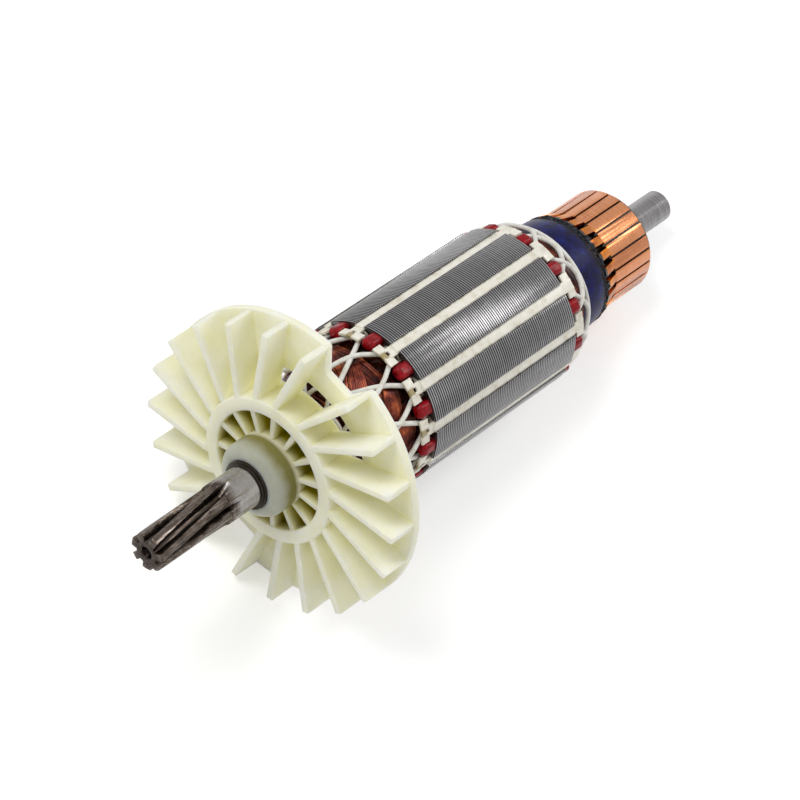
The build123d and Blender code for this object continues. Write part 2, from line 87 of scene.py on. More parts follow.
# Radii and widths of the CAD pieces, in mm
STACK_RADIUS = 20.5
CENTRE_HOLE_RADIUS = 1.7
TOOTH_ROOT_RADIUS = 2.8
FAN_HUB_RADIUS = 9.3
FAN_RING_INNER_RADIUS = 14.9
FAN_RING_RADIUS = 18.3
BAR_RADIUS = 13.2
WEDGE_HALF_WIDTH = 1.35

# Slots and bars, and the turns in radians that bring a shader's angle to 0 midway between two of them
SLOT_COUNT = 12
SLOT_PITCH = 360 / SLOT_COUNT
FIRST_SLOT = 24.0
SLOT_PHASE = math.radians(360 - FIRST_SLOT + SLOT_PITCH / 2)
BAR_COUNT = 24
BAR_PITCH = 360 / BAR_COUNT
BAR_PHASE = math.radians(360 - FIRST_SLOT + BAR_PITCH / 2)


def spot(station, radius, turn):
    """Point in space from its station, its distance to the axis and its turn."""
    angle = math.radians(turn)
    out = UP * math.cos(angle) + SIDE * math.sin(angle)
    return ORIGIN + REAR * (station * MM) + out * (radius * MM)


# Materials
class Tree:
    """Short calls for building the nodes of a material or of the world. Colours are three numbers."""

    def __init__(self, block):
        block.use_nodes = True
        self.block = block
        self.nodes = block.node_tree.nodes
        self.links = block.node_tree.links
        self.places = None

    def feed(self, node, key, value):
        """Give a node's input, found by its name or number, a link or a value."""
        socket = node.inputs[key]
        if isinstance(value, bpy.types.NodeSocket):
            self.links.new(value, socket)
        elif socket.type == "RGBA":
            socket.default_value = (*value, 1)
        else:
            socket.default_value = value

    def node(self, kind, settings=(), **inputs):
        made = self.nodes.new("ShaderNode" + kind)
        for key, value in dict(settings).items():
            setattr(made, key, value)
        for name, value in inputs.items():
            self.feed(made, name.replace("_", " "), value)
        return made

    def math(self, operation, *values):
        made = self.node("Math", {"operation": operation})
        for index, value in enumerate(values):
            self.feed(made, index, value)
        return made.outputs[0]

    def place(self):
        """Position in the shaft's own frame in mm: x and y across it, z the station."""
        if self.places is None:
            mapping = self.node(
                "Mapping",
                {"vector_type": "TEXTURE"},
                Vector=self.node("TexCoord").outputs["Object"],
                Location=ORIGIN,
                Rotation=SHAFT_FRAME.to_euler(),
                Scale=(MM, MM, MM),
            )
            self.places = mapping.outputs[0]
        return self.places

    def cylinder(self):
        """Station and radius in mm, and turn in radians."""
        x, y, station = self.node("SeparateXYZ", Vector=self.place()).outputs
        radius = self.math("SQRT", self.math("ADD", self.math("MULTIPLY", x, x), self.math("MULTIPLY", y, y)))
        return station, radius, self.math("ARCTAN2", y, x)

    def stretched(self, along, across):
        """Position scaled along the shaft and across it, for grain that follows one of them."""
        scaled = self.node("VectorMath", {"operation": "MULTIPLY"})
        self.feed(scaled, 0, self.place())
        self.feed(scaled, 1, (across, across, along))
        return scaled.outputs[0]

    def noise(self, scale, detail, roughness, vector=None):
        made = self.node(
            "TexNoise",
            Vector=vector or self.place(),
            Scale=scale,
            Detail=detail,
            Roughness=roughness,
        )
        return made.outputs["Fac"]

    def number_noise(self, number):
        """Value from 0 to 1 that is the same for all of one whole number."""
        return self.node("TexWhiteNoise", {"noise_dimensions": "1D"}, W=number).outputs["Value"]

    def ramp(self, factor, *stops):
        made = self.node("ValToRGB")
        self.feed(made, 0, factor)
        elements = made.color_ramp.elements
        while len(elements) < len(stops):
            elements.new(0.5)
        for element, (position, colour) in zip(elements, stops):
            element.position = position
            element.color = (*colour, 1)
        return made.outputs["Color"]

    def span(self, value, low, high, to_low=0.0, to_high=1.0):
        """Value that goes from to_low to to_high while another goes from low to high."""
        made = self.node("MapRange", {"clamp": True})
        for index, number in enumerate((value, low, high, to_low, to_high)):
            self.feed(made, index, number)
        return made.outputs[0]

    def mix(self, factor, first, second):
        """Mix of two colours, which are inputs 6 and 7 of the node."""
        made = self.node("Mix", {"data_type": "RGBA"})
        for index, value in ((0, factor), (6, first), (7, second)):
            self.feed(made, index, value)
        return made.outputs[2]

    def bump(self, height, strength, distance):
        return self.node("Bump", Height=height, Strength=strength, Distance=distance * MM).outputs[0]

    def seen(self):
        """1 for rays that show a surface to the camera, straight, mirrored or through glass, 0 for light."""
        path = self.node("LightPath")
        rays = self.math("ADD", path.outputs["Is Camera Ray"], path.outputs["Is Glossy Ray"])
        return self.math("MINIMUM", self.math("ADD", rays, path.outputs["Is Transmission Ray"]), 1.0)

    def finish(self, **inputs):
        """Give the shader its inputs, and return the material."""
        for name, value in inputs.items():
            self.feed(self.nodes["Principled BSDF"], name.replace("_", " "), value)
        return self.block


def material_tree(name):
    """Nodes of a new material."""
    return Tree(bpy.data.materials.new(name))


def shaft_steel():
    """Ground and turned steel, dark and stained where the teeth were hobbed, with painted highlight along the
    teeth and painted shade in their roots and in the centre hole.
    """
    tree = material_tree("shaft_steel")
    station, radius, _ = tree.cylinder()
    rings = tree.noise(1.0, 4, 0.6, tree.stretched(9.0, 0.15))
    stain = tree.noise(0.55, 5, 0.6)
    highlight_streaks = tree.noise(1.0, 3, 0.5, tree.stretched(0.25, 5.0))
    steel = tree.ramp(rings, (0.3, (0.13, 0.125, 0.125)), (0.7, (0.27, 0.262, 0.262)))
    front_seat = tree.span(station, SHOULDER - 3.4, SHOULDER - 1.9, 1.0, 0.0)
    blotch = tree.math("MULTIPLY", tree.span(stain, 0.45, 0.62, 0.0, 0.5), front_seat)
    steel = tree.mix(blotch, steel, (0.075, 0.055, 0.045))
    before_fan = tree.span(station, HUB_EDGE - 1.6, HUB_EDGE - 0.6, 0.3, 0.0)
    steel = tree.mix(before_fan, steel, (0.5, 0.47, 0.44))
    tooth = tree.ramp(stain, (0.3, (0.038, 0.027, 0.021)), (0.72, (0.12, 0.096, 0.08)))
    # Painted highlight: lighter grey-beige streaks along the teeth stand for their lit lands.
    tooth = tree.mix(tree.span(highlight_streaks, 0.5, 0.72, 0.0, 0.6), tooth, (0.38, 0.34, 0.31))
    # Painted shade: the tooth roots darkened towards black.
    root = tree.span(radius, TOOTH_ROOT_RADIUS + 0.2, TOOTH_ROOT_RADIUS + 1.5, 1.0, 0.0)
    tooth = tree.mix(tree.math("MULTIPLY", root, 0.7), tooth, (0.03, 0.022, 0.018))
    uneven = tree.math("ADD", station, tree.math("MULTIPLY", stain, 2.0))
    toothed = tree.span(uneven, TEETH_END - 1.0, TEETH_END + 0.4, 1.0, 0.0)
    colour = tree.mix(toothed, steel, tooth)
    behind_shoulder = tree.span(station, SHOULDER - 0.2, SHOULDER)
    before_hub = tree.span(station, HUB_EDGE + 0.4, HUB_EDGE + 1.4, 1.0, 0.0)
    colour = tree.mix(tree.math("MULTIPLY", behind_shoulder, before_hub), colour, (0.03, 0.024, 0.018))
    # Painted shade: the centre hole in the pinion's tip painted nearly black.
    in_hole = tree.span(radius, CENTRE_HOLE_RADIUS - 0.2, CENTRE_HOLE_RADIUS + 0.05, 1.0, 0.0)
    hole_shade = tree.math("MULTIPLY", tree.span(station, SHAFT_TIP + 0.2, SHAFT_TIP + 0.4), in_hole)
    colour = tree.mix(hole_shade, colour, (0.01, 0.008, 0.007))
    roughness = tree.span(tree.mix(0.5, rings, stain), 0.25, 0.75, 0.2, 0.34)
    normal = tree.bump(rings, 0.25, 0.02)
    return tree.finish(Base_Color=colour, Metallic=1.0, Roughness=roughness, Normal=normal)


def fan_plastic():
    """Cream moulding that lets light through, pale at its edges and greyer at the hub; the olive deep in its
    recesses, on its pocket floors and at the hub's foot is painted shade.
    """
    tree = material_tree("fan_plastic")
    station, radius, _ = tree.cylinder()
    cloud = tree.noise(0.16, 4, 0.55)
    grain = tree.noise(5.0, 3, 0.6)
    body = tree.ramp(cloud, (0.3, (0.87, 0.845, 0.61)), (0.72, (0.94, 0.925, 0.76)))
    drift = tree.math("MULTIPLY", tree.math("SUBTRACT", cloud, 0.5), 5.0)
    uneven = tree.math("ADD", station, drift)
    # Painted shade: olive deep in the fan near its ring, in its recesses.
    near_back = tree.span(uneven, FAN_FRONT + 0.5, FAN_FRONT + 7.0)
    near_ring = tree.span(radius, FAN_RING_RADIUS - 0.3, FAN_RING_RADIUS + 8.7, 0.75, 0.0)
    colour = tree.mix(tree.math("MULTIPLY", near_back, near_ring), body, (0.6, 0.57, 0.17))
    # Painted shade: darker olive on the pocket floors inside the ring.
    sunk = tree.span(station, FAN_FRONT - 0.3, FAN_FRONT + 3.0)
    inside_ring = tree.span(radius, FAN_RING_INNER_RADIUS, FAN_RING_INNER_RADIUS + 0.4, 1.0, 0.0)
    colour = tree.mix(tree.math("MULTIPLY", sunk, inside_ring), colour, (0.36, 0.31, 0.004))
    # The hub's grey is its own tone; towards the hub's foot it goes olive as painted shade.
    nose = tree.ramp(cloud, (0.3, (0.4, 0.41, 0.34)), (0.7, (0.5, 0.51, 0.43)))
    hub = tree.mix(tree.span(uneven, HUB_EDGE - 1.1, HUB_EDGE + 1.9), nose, (0.24, 0.22, 0.07))
    on_hub = tree.span(radius, FAN_HUB_RADIUS + 0.1, FAN_HUB_RADIUS + 0.4, 1.0, 0.0)
    before_ring = tree.span(station, FAN_FRONT - 0.7, FAN_FRONT + 0.5, 1.0, 0.0)
    colour = tree.mix(tree.math("MULTIPLY", on_hub, before_ring), colour, hub)
    return tree.finish(
        Base_Color=colour,
        Roughness=0.45,
        Specular_IOR_Level=0.1,
        Subsurface_Weight=0.9,
        Subsurface_Radius=(1.0, 0.95, 0.6),
        Subsurface_Scale=0.0042,
        Normal=tree.bump(grain, 0.1, 0.05),
    )


SHEET_COUNT = 76


def stack_steel():
    """Edges of stamped sheets: fine rings along the stack, each a little lighter or darker, and painted shade
    below the rim.
    """
    tree = material_tree("stack_steel")
    station, radius, _ = tree.cylinder()
    sheets = tree.math("DIVIDE", station, STACK_LENGTH / SHEET_COUNT)
    groove = tree.math("ABSOLUTE", tree.math("SUBTRACT", tree.math("FRACT", sheets), 0.5))
    shade = tree.number_noise(tree.math("FLOOR", sheets))
    patch = tree.noise(0.18, 3, 0.5)
    smear = tree.noise(1.0, 3, 0.6, tree.stretched(1.2, 0.35))
    colour = tree.ramp(shade, (0.0, (0.21, 0.207, 0.212)), (1.0, (0.26, 0.256, 0.258)))
    colour = tree.mix(tree.span(patch, 0.35, 0.7, 0.0, 0.4), colour, (0.31, 0.306, 0.3))
    on_rim = tree.span(radius, STACK_RADIUS - 0.3, STACK_RADIUS - 0.15)
    seam = tree.math("MULTIPLY", tree.span(groove, 0.19, 0.31), on_rim)
    colour = tree.mix(seam, colour, (0.018, 0.016, 0.018))
    # Painted shade: darker below the rim, in the slots and on the stack's ends.
    slot_shade = tree.span(radius, STACK_RADIUS - 0.5, STACK_RADIUS - 0.2, 0.6, 0.0)
    colour = tree.mix(slot_shade, colour, (0.05, 0.045, 0.045))
    colour = tree.mix(tree.span(smear, 0.62, 0.78, 0.0, 0.3), colour, (0.14, 0.13, 0.12))
    normal = tree.bump(tree.span(groove, 0.25, 0.5, 1.0, 0.0), 0.25, 0.05)
    roughness = tree.span(smear, 0.3, 0.7, 0.24, 0.34)
    return tree.finish(Base_Color=colour, Metallic=1.0, Roughness=roughness, Normal=normal)


def plain_plastic(name, dark, light, roughness, scale=0.8, bump=0.15, coat=0.0):
    """Moulded or sheet plastic whose colour drifts between two shades."""
    tree = material_tree(name)
    cloud = tree.noise(scale, 4, 0.6)
    grain = tree.noise(scale * 6, 3, 0.6)
    return tree.finish(
        Base_Color=tree.ramp(cloud, (0.3, dark), (0.7, light)),
        Roughness=roughness,
        Specular_IOR_Level=0.12,
        Normal=tree.bump(grain, bump, 0.05),
        Coat_Weight=coat,
        Coat_Roughness=0.08,
    )


def wedge_sheet():
    """Cream glass sheet with resin soaked into it, painted shadow along its edges in the gaps beside the
    teeth, and painted shade lower down in the slot.
    """
    tree = material_tree("wedge_sheet")
    half_stack = STACK_LENGTH / 2
    weave = tree.noise(1.0, 3, 0.6, tree.stretched(0.5, 3.0))
    cloud = tree.noise(0.35, 4, 0.6)
    colour = tree.ramp(
        cloud,
        (0.28, (0.6, 0.54, 0.41)),
        (0.48, (0.78, 0.75, 0.65)),
        (0.8, (0.88, 0.86, 0.79)),
    )
    colour = tree.mix(tree.span(weave, 0.55, 0.8, 0.0, 0.35), colour, (0.5, 0.42, 0.27))
    station, radius, turn = tree.cylinder()
    from_middle = tree.math("ABSOLUTE", tree.math("SUBTRACT", station, half_stack))
    pitches = tree.math("DIVIDE", tree.math("ADD", turn, SLOT_PHASE), math.radians(SLOT_PITCH))
    off_centre = tree.math("ABSOLUTE", tree.math("SUBTRACT", tree.math("FRACT", pitches), 0.5))
    aside = tree.math("MULTIPLY", off_centre, math.radians(SLOT_PITCH) * STACK_RADIUS)
    blob = tree.noise(0.8, 3, 0.6)
    on_flap = tree.span(tree.math("ADD", from_middle, blob), half_stack + 2.6, half_stack + 3.0)
    inner = tree.span(tree.math("SUBTRACT", aside, blob), 0.1, 0.6, 0.85, 0.0)
    soaked = tree.math("MULTIPLY", on_flap, inner)
    soaked = tree.math("MULTIPLY", soaked, tree.span(station, -1.0, 0.0, 1.0, 0.15))
    colour = tree.mix(soaked, colour, (0.27, 0.19, 0.035))
    # Painted shadow: a dark line along each side of the wedge inside the stack, in the gap beside the teeth,
    # made uneven by the cloud.
    at_side = tree.span(aside, WEDGE_HALF_WIDTH - 0.4, WEDGE_HALF_WIDTH - 0.15)
    in_stack = tree.span(from_middle, half_stack - 0.1, half_stack + 0.1, 1.0, 0.0)
    gap_shadow = tree.math("MULTIPLY", at_side, in_stack)
    gap_shadow = tree.math("MULTIPLY", gap_shadow, tree.span(cloud, 0.3, 0.55, 1.0, 0.45))
    colour = tree.mix(gap_shadow, colour, (0.05, 0.04, 0.02))
    # Painted shade: the wedge darker lower down, deep in the slot.
    low = tree.span(radius, STACK_RADIUS - 2.3, STACK_RADIUS - 1.7, 0.6, 0.0)
    colour = tree.mix(low, colour, (0.2, 0.17, 0.09))
    normal = tree.bump(weave, 0.25, 0.06)
    return tree.finish(Base_Color=colour, Roughness=0.4, Normal=normal, Coat_Weight=0.15, Coat_Roughness=0.15)


def copper_wire(name, level):
    """Enamelled copper wire under resin, orange-brown to nearly black red; its darkest red is painted shade
    and its brightest orange painted highlight. A lower level is a darker copy, as painted shade, and a higher
    one a lighter copy, as painted light.
    """
    tree = material_tree(name)
    patch = tree.noise(0.3, 3, 0.5)
    fine = tree.noise(0.9, 2, 0.5)
    # The middle red is the wire's own tone; the noise spreads painted shade, the darkest red, and painted
    # highlight, the brightest orange, over it, and the fine specks are painted shade.
    shade_red = tuple(level * part for part in (0.035, 0.006, 0.005))
    red = tuple(level * part for part in (0.14, 0.023, 0.012))
    highlight_orange = tuple(level * part for part in (0.46, 0.11, 0.035))
    colour = tree.ramp(patch, (0.3, shade_red), (0.5, red), (0.72, highlight_orange))
    colour = tree.mix(tree.span(fine, 0.5, 0.8, 0.0, 0.4), colour, shade_red)
    return tree.finish(
        Base_Color=colour,
        Metallic=0.6,
        Roughness=0.25,
        Specular_IOR_Level=0.2,
        Normal=tree.bump(fine, 0.2, 0.05),
        Coat_Weight=0.15,
        Coat_Roughness=0.1,
    )


def cord_cotton():
    """White lacing cord with a twist and resin stains."""
    tree = material_tree("lacing_cord")
    stain = tree.noise(0.45, 4, 0.6)
    twist = tree.node(
        "TexWave",
        {"wave_type": "BANDS", "bands_direction": "DIAGONAL"},
        Vector=tree.place(),
        Scale=0.9,
        Distortion=1.5,
    )
    threads = twist.outputs["Fac"]
    colour = tree.ramp(
        stain,
        (0.3, (0.58, 0.54, 0.46)),
        (0.45, (0.72, 0.71, 0.66)),
        (0.75, (0.84, 0.84, 0.81)),
    )
    colour = tree.mix(tree.span(threads, 0.0, 0.35, 0.12, 0.0), colour, (0.4, 0.36, 0.3))
    return tree.finish(Base_Color=colour, Roughness=0.6, Normal=tree.bump(threads, 0.25, 0.1))


def blue_wrap():
    """Dark blue cured band, satin, with black smears along both its edges."""
    tree = material_tree("blue_wrap")
    station, _, _ = tree.cylinder()
    cloud = tree.noise(0.5, 4, 0.6)
    fine = tree.noise(2.5, 3, 0.6)
    colour = tree.ramp(
        cloud,
        (0.3, (0.003, 0.003, 0.018)),
        (0.55, (0.006, 0.006, 0.07)),
        (0.75, (0.008, 0.018, 0.15)),
    )
    ragged = tree.math("ADD", station, tree.math("MULTIPLY", tree.math("SUBTRACT", fine, 0.5), 7.0))
    rear_smear = tree.span(ragged, WRAP_REAR - 0.95, WRAP_REAR + 0.05)
    front_smear = tree.span(ragged, WRAP_FRONT - 0.5, WRAP_FRONT + 0.5, 0.8, 0.0)
    colour = tree.mix(tree.math("ADD", rear_smear, front_smear), colour, (0.009, 0.008, 0.01))
    normal = tree.bump(tree.mix(0.4, cloud, fine), 0.5, 0.3)
    return tree.finish(Base_Color=colour, Roughness=0.35, Specular_IOR_Level=0.12, Normal=normal)


def bar_copper():
    """Turned copper: fine rings round the commutator, patches of tarnish, each bar darker by its own random
    amount as a painted reflection, painted shade below the bars' outer faces, and black at the hooks.
    """
    tree = material_tree("bar_copper")
    station, radius, turn = tree.cylinder()
    rings = tree.noise(1.0, 3, 0.6, tree.stretched(11.0, 0.1))
    patch = tree.noise(0.35, 3, 0.5)
    colour = tree.ramp(rings, (0.3, (0.46, 0.175, 0.075)), (0.7, (0.66, 0.28, 0.135)))
    colour = tree.mix(tree.span(patch, 0.45, 0.75, 0.0, 0.45), colour, (0.4, 0.13, 0.05))
    # Painted reflection: each bar darkened by its own random amount, standing for the bars' uneven
    # reflections.
    pitches = tree.math("DIVIDE", tree.math("ADD", turn, BAR_PHASE), math.radians(BAR_PITCH))
    own = tree.number_noise(tree.math("FLOOR", pitches))
    colour = tree.mix(tree.span(own, 0.45, 1.0, 0.0, 0.5), colour, (0.3, 0.095, 0.04))
    wavy = tree.math("ADD", station, tree.math("MULTIPLY", tree.math("SUBTRACT", patch, 0.5), 2.0))
    hook = tree.ramp(patch, (0.35, (0.64, 0.21, 0.02)), (0.65, (0.32, 0.085, 0.014)))
    colour = tree.mix(tree.span(wavy, BAR_FRONT - 0.2, BAR_FRONT + 0.6, 0.9, 0.0), colour, hook)
    varnish = tree.span(wavy, HOOK_FRONT + 0.6, HOOK_FRONT + 1.2, 1.0, 0.0)
    colour = tree.mix(varnish, colour, (0.012, 0.01, 0.009))
    # Painted shade: the copper below the bars' outer faces darkened, in the gaps between the bars.
    below_face_shade = tree.span(radius, BAR_RADIUS - 0.8, BAR_RADIUS - 0.3, 0.8, 0.0)
    colour = tree.mix(below_face_shade, colour, (0.06, 0.03, 0.02))
    bare = tree.math("SUBTRACT", 1.0, varnish)
    return tree.finish(Base_Color=colour, Metallic=bare, Roughness=0.26, Normal=tree.bump(rings, 0.25, 0.02))


def hook_varnish():
    """Thick black varnish with a blue-green cast where it is thin."""
    tree = material_tree("hook_varnish")
    cloud = tree.noise(0.9, 4, 0.6)
    fine = tree.noise(3.0, 3, 0.6)
    colour = tree.ramp(
        cloud,
        (0.35, (0.004, 0.004, 0.005)),
        (0.62, (0.008, 0.01, 0.018)),
        (0.8, (0.04, 0.045, 0.03)),
    )
    normal = tree.bump(fine, 0.7, 0.25)
    return tree.finish(Base_Color=colour, Roughness=0.45, Specular_IOR_Level=0.22, Normal=normal)


def core_moulding():
    """Dark moulding compound with a dusty surface."""
    tree = material_tree("core_moulding")
    cloud = tree.noise(0.7, 4, 0.6)
    fine = tree.noise(4.0, 3, 0.6)
    colour = tree.ramp(cloud, (0.3, (0.02, 0.015, 0.013)), (0.75, (0.075, 0.05, 0.04)))
    return tree.finish(Base_Color=colour, Roughness=0.5, Normal=tree.bump(fine, 0.3, 0.08))


RED = plain_plastic(
    "red_insulator",
    dark=(0.12, 0.001, 0.004),
    light=(0.36, 0.004, 0.01),
    roughness=0.3,
    scale=0.9,
    bump=0.35,
    coat=0.1,
)
# The copper at level 1.0 is the plain wire; the darker copies are painted shade and the lighter one is
# painted light.
WIRE = copper_wire("copper_wire", 1.0)
WIRE_SHADED = copper_wire("copper_painted_shade", 0.45)
WIRE_LIT = copper_wire("copper_painted_light", 1.1)
WIRE_DEEP_SHADE = copper_wire("copper_painted_deep_shade", 0.2)
CORD = cord_cotton()
VARNISH = hook_varnish()

CAD_MATERIALS = {
    "shaft": shaft_steel(),
    "fan": fan_plastic(),
    "lamination_stack": stack_steel(),
    "insulation_tube": plain_plastic("tube_plastic", (0.2, 0.05, 0.04), (0.34, 0.1, 0.07), 0.4),
    "front_end_insulator": RED,
    "rear_end_insulator": RED,
    "slot_liner": plain_plastic("liner_sheet", (0.6, 0.55, 0.42), (0.8, 0.76, 0.64), 0.5),
    "slot_wedge": wedge_sheet(),
    # The winding solid is painted in the deep shade copy of the copper, as shade between the wires.
    "winding": WIRE_DEEP_SHADE,
    "front_lacing": CORD,
    "rear_lacing": CORD,
    "lead_wrap": blue_wrap(),
    "commutator_core": core_moulding(),
    "commutator_bar": bar_copper(),
}


def family(name):
    """Name of the kind of piece that a node is, without its number."""
    return name[:-3] if name[-2:].isdigit() else name


for name, node in nodes.items():
    node.data.materials.clear()
    node.data.materials.append(CAD_MATERIALS[family(name)])


# Helpers for the pieces
def add_piece(name, mesh):
    """Put a mesh into the scene as a piece that rides on the part's one body."""
    piece = bpy.data.objects.new(name, mesh)
    bpy.context.scene.collection.objects.link(piece)
    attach(piece, "root")
    return piece


def smooth_mesh(name, vertices, faces):
    """Mesh with smooth shading."""
    mesh = bpy.data.meshes.new(name)
    mesh.from_pydata(vertices, [], faces)
    mesh.shade_smooth()
    return mesh


WIRE_SIDES = 6


def tube_mesh(name, routes, radius, sides=WIRE_SIDES):
    """One mesh of round wires along lists of points in space; the radius is in mm."""
    vertices = []
    faces = []
    for route in routes:
        first = len(vertices)
        across = None
        for index, point in enumerate(route):
            ahead = route[min(index + 1, len(route) - 1)] - route[max(index - 1, 0)]
            ahead.normalize()
            if across is None:
                across = ahead.orthogonal().normalized()
            across = (across - ahead * across.dot(ahead)).normalized()
            other = ahead.cross(across)
            for side in range(sides):
                angle = 2 * math.pi * side / sides
                vertices.append(point + (across * math.cos(angle) + other * math.sin(angle)) * (radius * MM))
        for index in range(len(route) - 1):
            for side in range(sides):
                a = first + index * sides + side
                b = first + index * sides + (side + 1) % sides
                faces.append((a, b, b + sides, a + sides))
        last = first + (len(route) - 1) * sides
        faces.append(tuple(range(first + sides - 1, first - 1, -1)))
        faces.append(tuple(range(last, last + sides)))
    return smooth_mesh(name, vertices, faces)


def tubes(name, routes, radius, material, sides=WIRE_SIDES):
    """Wires or cords as a piece of their own."""
    mesh = tube_mesh(name, routes, radius, sides)
    mesh.materials.append(material)
    piece = add_piece(name, mesh)


# Winding heads: wires that leave a slot, turn round the head and go back into a slot five further on.
# An outline is the CAD head's stations and radii, and reach is how far the longest wires go from a face.
FRONT_HEAD = ((-1.05, 17.2), (-4.65, 17.2), (-8.25, 17.7), (-11.85, 16.8), (-16.35, 15.15), (-19.05, 12.6))
REAR_HEAD = ((51.65, 17.2), (57.04, 17.2), (61.45, 15.2))
HEADS = (
    {"outline": FRONT_HEAD, "face": 0.0, "reach": -19.0, "wires_per_coil": 24, "seed": 3},
    {"outline": REAR_HEAD, "face": STACK_LENGTH, "reach": 10.4, "wires_per_coil": 14, "seed": 5},
)
COIL_SPAN = 5 * SLOT_PITCH
WIRE_RADIUS = 0.29
WIRE_STEPS = 26
# Material slot of each wire in turn: 1 the plain copper, 2 its copy in painted shade, 3 its copy in painted
# light.
WIRE_PAINTED_LIGHT_PICKS = (1, 3, 1, 2, 3, 1, 2)

# How the wires of a coil lie: shares are of the reach, depths and waves in mm, and angles in degrees
FIRST_SHARE = 0.3
SHARE_RANGE = 0.62
SHARE_SPREAD = 0.15
LOWEST_SHARE = 0.14
HIGHEST_SHARE = 0.985
TOP_DEPTH = 0.02
LAYER_DEPTH = 0.42
BUNDLE_HALF_ANGLE = 4.4
SHARE_JITTER = 0.005
DEPTH_JITTER = 0.04
TURN_JITTER = 0.4
START_GAP = 0.3
RISE_POWER = 0.52
WAVE = 0.1
WAVE_RATE = 9
START_DROP = 1.8
START_DROP_SHARE = 0.12
END_DROP = 1.3

# The CAD heads are drawn in under the wires: at their sides, but not in their bore, and at the front face
HEAD_INSET = 1.0
NOSE_INSET = 0.4
HEAD_SIDES_RADIUS = 11.0
HEAD_MARGIN = 0.1


def surface(outline, station):
    """Radius of a winding head at a station, or at its nearer end for a station beyond it."""
    stations = [place for place, radius in outline]
    if (station - stations[0]) * (station - stations[-1]) > 0:
        nearest = min(outline, key=lambda corner: abs(corner[0] - station))
        return nearest[1]
    for (start, start_radius), (end, end_radius) in zip(outline, outline[1:]):
        if min(start, end) <= station <= max(start, end):
            return start_radius + (end_radius - start_radius) * (station - start) / (end - start)


def head_wires(outline, face, reach, wires_per_coil, seed):
    """Routes of the wires on one winding head; face is the stack's face, and reach is signed."""
    draw = random.Random(seed)
    order = list(range(SLOT_COUNT))
    draw.shuffle(order)
    routes = []
    for coil in range(SLOT_COUNT):
        turn = FIRST_SLOT + SLOT_PITCH * coil
        group = FIRST_SHARE + SHARE_RANGE * order[coil] / (SLOT_COUNT - 1)
        for wire in range(wires_per_coil):
            layer = wire % 2
            side = 2 * (wire // 2) / (wires_per_coil // 2 - 1) - 1
            share = group + SHARE_SPREAD * side + draw.uniform(-SHARE_JITTER, SHARE_JITTER)
            share = min(HIGHEST_SHARE, max(LOWEST_SHARE, share))
            depth = TOP_DEPTH + LAYER_DEPTH * layer + draw.uniform(-DEPTH_JITTER, DEPTH_JITTER)
            start_shift = -BUNDLE_HALF_ANGLE * side + draw.uniform(-TURN_JITTER, TURN_JITTER)
            end_shift = BUNDLE_HALF_ANGLE * side + draw.uniform(-TURN_JITTER, TURN_JITTER)
            wander = draw.uniform(0, 2 * math.pi)
            route = []
            for step in range(WIRE_STEPS + 1):
                t = step / WIRE_STEPS
                rise = math.sin(math.pi * t) ** RISE_POWER
                station = face + math.copysign(START_GAP, reach) + reach * share * rise
                station += WAVE * math.sin(wander + WAVE_RATE * t) * rise
                shift = start_shift * (1 - t) + end_shift * t
                sunk = START_DROP * max(0.0, 1 - t / START_DROP_SHARE) + END_DROP * t
                radius = surface(outline, station) - WIRE_RADIUS - depth - sunk
                route.append(spot(station, radius, turn + COIL_SPAN * t + shift))
            routes.append(route)
    return routes


def winding_piece():
    """Stands for the winding: its solid with the heads drawn in, and wires up to the true form."""
    base = nodes["winding"].data.copy()
    front_end = FRONT_HEAD[-1][0] - HEAD_MARGIN
    front_start = FRONT_HEAD[0][0] + HEAD_MARGIN
    rear_start = REAR_HEAD[0][0] - HEAD_MARGIN
    rear_end = REAR_HEAD[-1][0] + HEAD_MARGIN
    front_face = FRONT_HEAD[-1][0] + HEAD_MARGIN
    for vertex in base.vertices:
        place = vertex.co - ORIGIN
        station = place.dot(REAR) / MM
        out = place - REAR * place.dot(REAR)
        on_head = front_end < station < front_start or rear_start < station < rear_end
        if on_head and out.length > HEAD_SIDES_RADIUS * MM:
            vertex.co -= out.normalized() * (HEAD_INSET * MM)
            if station < front_face:
                vertex.co += REAR * (NOSE_INSET * MM)
    joined = bmesh.new()
    joined.from_mesh(base)
    faces_per_wire = WIRE_STEPS * WIRE_SIDES + 2
    for head in HEADS:
        wires = tube_mesh("wires", head_wires(**head), WIRE_RADIUS)
        # Each wire takes the plain copper or one of its copies in painted shade and painted light, in a fixed
        # pattern.
        for polygon in wires.polygons:
            wire = polygon.index // faces_per_wire
            polygon.material_index = WIRE_PAINTED_LIGHT_PICKS[(wire * 5 + wire // 7) % len(WIRE_PAINTED_LIGHT_PICKS)]
        joined.from_mesh(wires)
    mesh = bpy.data.meshes.new("winding_finished")
    joined.to_mesh(mesh)
    joined.free()
    # Slot 0, used by the winding solid, is the deep shade copy: painted shade in the gaps between the wires.
    for material in (WIRE_DEEP_SHADE, WIRE, WIRE_SHADED, WIRE_LIT):
        mesh.materials.append(material)
    piece = add_piece("winding_finished", mesh)
    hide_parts("winding")


winding_piece()

